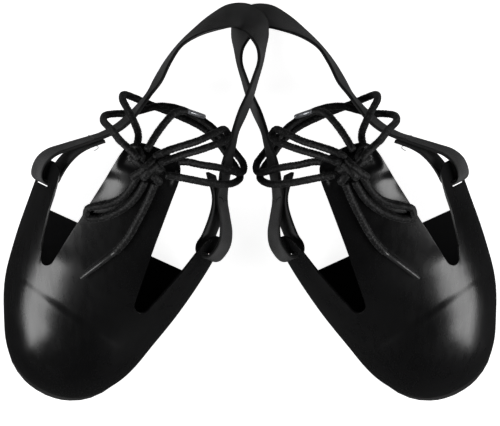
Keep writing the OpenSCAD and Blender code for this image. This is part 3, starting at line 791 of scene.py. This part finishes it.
def shell_sheet():
    """The shell's outer surface as one sheet, with its notches, slots and eyelets open."""
    dome = dome_grid()
    outer, inner, tongue = wing_grid(False), wing_grid(True), tongue_grid()
    last = dome[-1]
    outer[0] = last[:WING_STEPS + 1]
    tongue[0] = last[WING_STEPS + GAP_STEPS:WING_STEPS + GAP_STEPS + TONGUE_STEPS + 1]
    inner[0] = last[COLUMNS - WING_STEPS:][::-1]
    dome = dome + grid_normals(dome) * toe_bulge(dome)[..., None]
    flat = tongue_flatness(tongue[..., 2], tongue[..., 1])
    lift = flat + tongue_panel(tongue) - tongue_dish(tongue)
    tongue = tongue + np.array([0, 0, 1.0]) * lift[..., None]
    sheet = Sheet()
    sheet.add(dome)
    slot_low, slot_high = slot_columns(outer), slot_columns(inner)
    for grid, flip, (a, b) in ((outer, False, slot_low), (inner, True, slot_high)):
        in_slot = lambda i, j: 128 - 0.01 <= grid[i, j, 1] < 132 - 0.01 and a <= j < b
        sheet.add(grid, lambda i, j: not in_slot(i, j), flip)
    centres = (tongue[:-1, :-1] + tongue[1:, 1:]) / 2

    def clear_of_eyelets(i, j):
        return all(np.hypot(*(centres[i, j, :2] - e)) > EYELET_R - 0.3 for e in EYELETS)

    sheet.add(tongue, clear_of_eyelets)
    nose = sheet.vertex(np.array([0, TOE_RIM, SOLE_T]))
    first = [sheet.vertex(p) for p in dome[0]]
    for j in range(COLUMNS):
        sheet.faces.append((nose, first[j + 1], first[j]))
    return np.array(sheet.points), sheet.faces


def slot_columns(grid):
    """First and last column of the slot, from the heights the strap passes through."""
    row = grid[np.argmin(np.abs(grid[:, 0, 1] - SLOT_Y))]
    inner = row[0, 0] > 0
    mid, half = (37.5, 10.8) if inner else (41, 11.0)
    inside = [j for j in range(len(row)) if mid - half < row[j, 2] < mid + half]
    return inside[0], inside[-1]


def snap_eyelets(piece, side):
    """Moves the cut edges round each eyelet onto a circle."""
    mesh = bmesh.new()
    mesh.from_mesh(piece.data)
    for e in EYELETS:
        centre = place([e[0], e[1], 0], side)
        ring = [v for v in mesh.verts if v.is_boundary
                and np.hypot(v.co.x - centre[0], v.co.y - centre[1]) < 2 * EYELET_R * MM]
        for v in ring:
            d = np.array([v.co.x - centre[0], v.co.y - centre[1]])
            d = d / np.hypot(*d) * EYELET_R * MM
            v.co.x, v.co.y = centre[0] + d[0], centre[1] + d[1]
    mesh.to_mesh(piece.data)
    mesh.free()


def add_shell(side):
    points, faces = shell_sheet()
    piece = add_mesh(f"{side}_moulded_shell", points, faces, SHELL_MAT, side)
    snap_eyelets(piece, side)
    add_modifier(piece, "SOLIDIFY", thickness=SHELL_T * MM, offset=-1, use_even_offset=True, use_rim=True,
                 thickness_clamp=1.0)
    add_modifier(piece, "BEVEL", width=0.8 * MM, segments=3,
                 limit_method="ANGLE", angle_limit=math.radians(50),
                 use_clamp_overlap=True)
    add_modifier(piece, "SUBSURF", levels=1, render_levels=1)
    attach(piece, f"{side}_guard")
    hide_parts(f"{side}_shell")


for side in SIDES:
    add_shell(side)


# ---- steel cap and its edging, inside the dome ----
CAP_REAR = 55
CAP_DEPTH = SHELL_T + 0.3
CAP_T = 1.8
EDGING_W = 4


def inner_band(y0, y1, rows, depth, skip=0):
    """Part of the dome between two stations, moved inward by depth."""
    if y0 <= 0:
        ys = TOE_RIM + 0.6 + (np.linspace(0, 1, rows) ** 1.6) * (y1 - TOE_RIM - 0.6)
    else:
        ys = np.linspace(y0, y1, rows)
    angles = np.linspace(0.02, math.pi - 0.02, 73)
    grid = np.stack([side_point(np.full(len(angles), y), angles, crest(y)) for y in ys])
    n = grid_normals(grid)
    return grid - n * depth


def add_inner_sheet(name, node, grid, thickness, material, side):
    sheet = Sheet()
    sheet.add(grid)
    piece = add_mesh(name, np.array(sheet.points), sheet.faces, material, side)
    add_modifier(piece, "SOLIDIFY", thickness=thickness * MM, offset=-1, use_even_offset=True)
    add_modifier(piece, "BEVEL", width=0.4 * MM, segments=2,
                 limit_method="ANGLE", angle_limit=math.radians(50))
    add_modifier(piece, "SUBSURF", levels=1, render_levels=1)
    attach(piece, f"{side}_guard")
    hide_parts(f"{side}_{node}")


for side in SIDES:
    add_inner_sheet(f"{side}_steel_cap", "toe_cap",
                    inner_band(0, CAP_REAR - 1, 30, CAP_DEPTH), CAP_T,
                    STEEL_MAT, side)
    add_inner_sheet(f"{side}_cap_tape", "cap_edging",
                    inner_band(CAP_REAR - 0.6, CAP_REAR + EDGING_W, 6, CAP_DEPTH - 0.1), CAP_T + 0.3,
                    EDGING_MAT, side)


# ---- heel strap: one band from one folded-back end to the other ----
OUTER_LEG = [[-34.6, 171.2, 42, 44, 16], [-39.1, 167.2, 41.7, 43.5, 18], [-43.7, 162.7, 41.5, 43, 20],
             [-47.8, 157.3, 41.2, 42, 22], [-50.8, 151, 41, 41.3, 24], [-52.6, 144, 41, 41, 25],
             [-53.4, 138, 41, 41, 26], [-53.6, 134.3, 41, 41, 26], [-55.5, 130.8, 41, 41, 26],
             [-60.5, 130, 41, 41, 26], [-63.5, 131.5, 41, 41, 26], [-65.2, 136, 41, 41, 25],
             [-65, 143, 41, 41, 25], [-61.6, 150, 41, 41.4, 24], [-54.4, 157, 41.3, 42, 22],
             [-45.5, 165, 41.5, 43, 20], [-40.8, 169.3, 41.7, 43.5, 18], [-35.6, 174.2, 42, 44, 16],
             [-28.5, 183, 42, 45, 12], [-23.8, 193, 41, 46, 7], [-20.8, 203, 39, 46, 2]]
REAR_LOOP = [[-18.8, 212, 36, 46, 0], [-17.4, 222, 31, 44.5, 6], [-16.5, 237, 22, 39, 11],
             [-14, 250, 15, 33.5, 8], [-7.8, 262.6, 10.8, 27, 18], [0.8, 274.6, 9.4, 21, 38],
             [8.2, 282.3, 7.7, 18, 54], [17.2, 285.3, 5.6, 15.8, 70], [25, 283.8, 6.4, 18.4, 64],
             [30.6, 278, 9.2, 25.3, 40], [35.4, 270.6, 11, 31, 16], [38.8, 262, 12, 35.5, 7],
             [40.5, 250, 14, 39, 8], [41.8, 238, 18, 42, 11], [42.2, 226, 27, 45, 6], [43, 213, 36, 46, 0]]
INNER_LEG = [[40, 180.5, 43, 45, 12], [43.6, 176, 42, 44, 15], [47.6, 171.8, 41, 43, 18],
             [51, 167.3, 40.2, 42, 20], [53.1, 162.3, 39.6, 41, 21], [54.5, 156, 39, 39.5, 22],
             [55.2, 149, 37.5, 37.5, 22], [55.4, 141, 37.5, 37.5, 22], [54.6, 134.6, 37.5, 37.5, 22],
             [56.7, 130.9, 37.5, 37.5, 22], [61.5, 130, 37.5, 37.5, 22], [64.6, 131.5, 37.5, 37.5, 22],
             [66.6, 136, 37.5, 37.5, 22], [67, 143, 37.5, 37.5, 22], [64.4, 151, 38, 38.5, 22],
             [58.8, 160, 39.3, 40.7, 21], [53.4, 168.5, 40.2, 42, 20], [50.5, 177, 42, 44, 15],
             [48, 186, 42, 45, 10], [46, 195, 41, 46, 6], [44.8, 204, 39, 46, 1]]
STRAP_W = 20
STRAP_T = 2.2
REAR_TWIST = 9
INNER_PULL = 0.8  # the inner leg is pulled towards its slot's front edge
OUTER_SEAM = (1, 16)
INNER_SEAM = (3, 16)


def strap_controls(side):
    """Middle of the strap and the direction of its width at each listed row."""
    height = 3 if side == "left" else 2
    controls = []
    for rows, sign in ((OUTER_LEG, 1), (REAR_LOOP, 0), (INNER_LEG[::-1], -1)):
        middle = np.array([[r[0], r[1], r[height]] for r in rows])
        if sign == -1:
            middle[:, 1] -= INNER_PULL * (1 - ramp(np.abs(middle[:, 1] - 130.5), 0.8, 3))
        direction = tangents(middle)
        for point, t, row in zip(middle, direction, rows):
            inside = np.cross(t, [0, 0, 1.0]) if sign == 0 else np.array([sign, 0, 0.0])
            inside = inside / np.linalg.norm(inside)
            twist = REAR_TWIST * float(ramp(row[1], 172, 190) * (1 - ramp(row[1], 222, 237)))
            lean = math.radians(row[4] + twist)
            controls.append([*point, *(inside * math.sin(lean) + np.array([0, 0, math.cos(lean)]))])
    return np.array(controls)


def section_points():
    """Rounded flat section: (share of half width, share of half thickness)."""
    out = []
    corner = 0.42
    for cx, cy, start in ((1, 1, 0), (-1, 1, 90), (-1, -1, 180), (1, -1, 270)):
        for k in range(5):
            a = math.radians(start + 90 * k / 4)
            half_w, half_t = STRAP_W / 2, STRAP_T / 2
            r = STRAP_T * corner
            out.append((cx * (half_w - r) + r * math.cos(a), cy * (half_t - r) + r * math.sin(a)))
    flat = []
    for k, p in enumerate(out):
        q = out[(k + 1) % len(out)]
        flat.append(p)
        if abs(q[0] - p[0]) > STRAP_W / 2:
            flat += [(p[0] + (q[0] - p[0]) * s / 6, p[1]) for s in range(1, 6)]
    return flat


def add_strap(side):
    path, length = smooth_path(strap_controls(side), 1.2)
    middle, width = path[:, :3], path[:, 3:]
    width = width / np.linalg.norm(width, axis=1, keepdims=True)
    t = tangents(middle)
    depth = np.cross(t, width)
    depth = depth / np.linalg.norm(depth, axis=1, keepdims=True)
    section = section_points()
    rings = np.stack([middle + width * a + depth * b for a, b in section], axis=1)
    faces = tube_faces(len(middle), len(section))
    piece = add_mesh(f"{side}_elastic_heel_strap", rings.reshape(-1, 3), [f[::-1] for f in faces],
                     STRAP_MAT, side)
    attribute = piece.data.attributes.new("across", "FLOAT", "POINT")
    attribute.data.foreach_set("value", np.tile([a for a, _ in section], len(middle)).astype(np.float32))
    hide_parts(f"{side}_heel_strap", f"{side}_outer_strap_leg", f"{side}_inner_strap_leg")
    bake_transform(piece)


def plain_tube(points, radius, sides=10):
    p, _ = smooth_path(points, 0.35)
    u, v = carried_frames(p)
    rings = []
    for i, centre in enumerate(p):
        end = min(i, len(p) - 1 - i)
        r = radius * (0.5, 0.85, 1)[min(end, 2)]
        for k in range(sides):
            a = 2 * math.pi * k / sides
            rings.append(centre + r * (u[i] * math.cos(a) + v[i] * math.sin(a)))
    return np.array(rings), tube_faces(len(p), sides)


def add_seam(side, rows, sign, seam, name):
    """A lockstitched row across the strap: short stitches between needle holes, and a loose tail."""
    height = 3 if side == "left" else 2
    middle = np.array([[r[0], r[1], r[height]] for r in rows])
    t = tangents(middle)[seam[1]]
    lean = math.radians(rows[seam[1]][4])
    width = np.array([sign * math.sin(lean), 0, math.cos(lean)])
    depth = np.cross(t, width)
    depth = depth / np.linalg.norm(depth)
    centre = (middle[seam[0]] + middle[seam[1]]) / 2
    stitches, pitch = 6, 2.9
    face = STRAP_T + 0.45
    vertices, faces = [], []

    def add(points, radius):
        v, f = plain_tube(points, radius)
        offset = sum(len(x) for x in vertices)
        vertices.append(v)
        faces.extend(tuple(offset + i for i in q) for q in f)

    for k in range(stitches):
        a = (k - stitches / 2 + 0.12) * pitch
        b = a + pitch * 0.76
        for out in (-1, 1):
            add([centre + width * a + depth * out * (face - 0.9),
                 centre + width * (a + 0.15) + depth * out * face,
                 centre + width * (a + b) / 2 + depth * out * (face + 0.12),
                 centre + width * (b - 0.15) + depth * out * face,
                 centre + width * b + depth * out * (face - 0.9)], 0.36)
    top = centre + width * stitches / 2 * pitch * 0.96
    add([top + depth * face * 0.8, top + depth * (face + 1.2) + width * 0.8,
         top + depth * (face + 2.2) - t * 1.5,
         top + depth * (face + 2.6) - t * 3.2 - width * 0.8], 0.2)
    piece = add_mesh(f"{side}_{name}_seam_thread", np.vstack(vertices), faces, THREAD_MAT, side)
    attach(piece, f"{side}_guard")
    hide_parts(f"{side}_{name}_stitching")


for side in SIDES:
    add_strap(side)
    add_seam(side, OUTER_LEG, 1, OUTER_SEAM, "outer")
    add_seam(side, INNER_LEG, -1, INNER_SEAM, "inner")


# ---- sole: the CAD outsole and insole with rounded edges and their own finish ----
def finish_node(node, material, width):
    piece = frame["nodes"][node]
    piece.data.materials.clear()
    piece.data.materials.append(material)
    add_modifier(piece, "BEVEL", width=width * MM, segments=3,
                 limit_method="ANGLE", angle_limit=math.radians(40))


for side in SIDES:
    finish_node(f"{side}_outsole", SOLE_MAT, 0.7)
    finish_node(f"{side}_insole", INSOLE_MAT, 0.4)


# ---- floor and light ----
def add_floor():
    mesh = bpy.data.meshes.new("floor")
    size = 6
    corners = [(-size, -size, 0), (size, -size, 0), (size, size, 0), (-size, size, 0)]
    mesh.from_pydata(corners, [], [(0, 1, 2, 3)])
    material, nodes, links, shader = new_material("white_floor", 0.6, specular=0.2)
    shader.inputs["Base Color"].default_value = (0.93, 0.93, 0.93, 1)
    shader.inputs["Emission Color"].default_value = (1, 1, 1, 1)
    shader.inputs["Emission Strength"].default_value = 0.9
    mesh.materials.append(material)
    floor = bpy.data.objects.new("floor", mesh)
    floor.location.z = -0.0004
    floor.visible_glossy = False
    bpy.context.scene.collection.objects.link(floor)


def add_softbox(name, location, target, width, height, power):
    data = bpy.data.lights.new(name, "AREA")
    data.shape = "RECTANGLE"
    data.size = width
    data.size_y = height
    data.energy = power
    light = bpy.data.objects.new(name, data)
    light.location = location
    aim = np.array(target, float) - np.array(location, float)
    light.rotation_euler = Vector(aim).to_track_quat("-Z", "Y").to_euler()
    bpy.context.scene.collection.objects.link(light)


bpy.context.scene.view_settings.view_transform = "Standard"
add_floor()
world = bpy.data.worlds.new("studio")
world.use_nodes = True
world.node_tree.nodes["Background"].inputs["Color"].default_value = (1, 1, 1, 1)
world.node_tree.nodes["Background"].inputs["Strength"].default_value = 0.025
bpy.context.scene.world = world
for sign in (-1, 1):
    add_softbox(f"side_softbox_{sign}", (sign * 0.98, -0.32, 0.52), (sign * 0.14, -0.06, 0.03),
                0.62, 0.66, 8.5)
